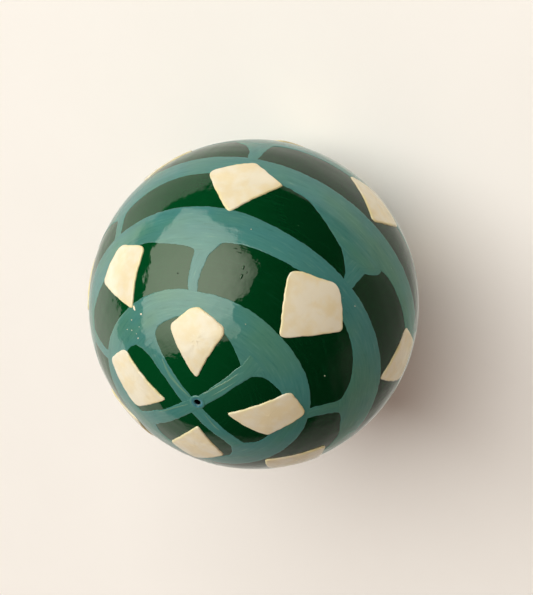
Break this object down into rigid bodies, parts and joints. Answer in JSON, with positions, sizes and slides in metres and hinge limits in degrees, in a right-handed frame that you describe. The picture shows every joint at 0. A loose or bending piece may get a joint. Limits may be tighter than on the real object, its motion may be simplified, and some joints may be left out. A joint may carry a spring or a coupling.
{
  "type": "labyrinth ball",
  "caption": "Hand-painted labyrinth ball: a lacquered two-part shell over a core ball and wall blocks, with a captive steel ball and a peep hole at each pole.",
  "frame": {"origin": "centre of the ball", "axes": "+Z from the centre to the pole with the start peep hole, +X through the middle of a polar arm"},
  "size_m": [0.1017, 0.1018, 0.1],
  "materials": {
    "shell_paint": "dark green and grey-teal paint on turned wood under a thick clear gloss lacquer",
    "tile_enamel": "cream enamel, glossy, slightly mottled, warmer at the edges",
    "eyelet": "small flanged eyelet under blue-grey paint and lacquer",
    "wall_wood": "bare close-grained wood, sanded",
    "core_wood": "bare turned wood",
    "steel": "polished bearing ball"
  },
  "bodies": {
    "case": {"upper_shell": "shell_paint", "lower_shell": "shell_paint", "start_peep_bush": "eyelet", "finish_peep_bush": "eyelet", "core_ball": "core_wood", "wall_north_cap_1": "wall_wood", "wall_north_cap_2": "wall_wood", "wall_north_cap_3": "wall_wood", "wall_north_cap_4": "wall_wood", "wall_belt_1_1": "wall_wood", "wall_belt_1_2": "wall_wood", "wall_belt_1_3": "wall_wood", "wall_belt_1_4": "wall_wood", "wall_belt_2_1": "wall_wood", "wall_belt_2_2": "wall_wood", "wall_belt_2_3": "wall_wood", "wall_belt_2_4": "wall_wood", "wall_belt_3_1": "wall_wood", "wall_belt_3_2": "wall_wood", "wall_belt_3_3": "wall_wood", "wall_belt_3_4": "wall_wood", "wall_belt_4_1": "wall_wood", "wall_belt_4_2": "wall_wood", "wall_belt_4_3": "wall_wood", "wall_belt_4_4": "wall_wood", "wall_south_cap_1": "wall_wood", "wall_south_cap_2": "wall_wood", "wall_south_cap_3": "wall_wood", "wall_south_cap_4": "wall_wood", "tile_north_cap_1": "tile_enamel", "tile_north_cap_2": "tile_enamel", "tile_north_cap_3": "tile_enamel", "tile_north_cap_4": "tile_enamel", "tile_belt_1_1": "tile_enamel", "tile_belt_1_2": "tile_enamel", "tile_belt_1_3": "tile_enamel", "tile_belt_1_4": "tile_enamel", "tile_belt_2_1": "tile_enamel", "tile_belt_2_2": "tile_enamel", "tile_belt_2_3": "tile_enamel", "tile_belt_2_4": "tile_enamel", "tile_belt_3_1": "tile_enamel", "tile_belt_3_2": "tile_enamel", "tile_belt_3_3": "tile_enamel", "tile_belt_3_4": "tile_enamel", "tile_belt_4_1": "tile_enamel", "tile_belt_4_2": "tile_enamel", "tile_belt_4_3": "tile_enamel", "tile_belt_4_4": "tile_enamel", "tile_south_cap_1": "tile_enamel", "tile_south_cap_2": "tile_enamel", "tile_south_cap_3": "tile_enamel", "tile_south_cap_4": "tile_enamel"},
    "runner": {"steel_ball": "steel"}
  },
  "joints": [
    {"name": "ball_run", "type": "hinge", "parent": "case", "child": "runner", "pos_m": [0, 0, 0], "axis": [0, 0, 1], "continuous": true}
  ]
}
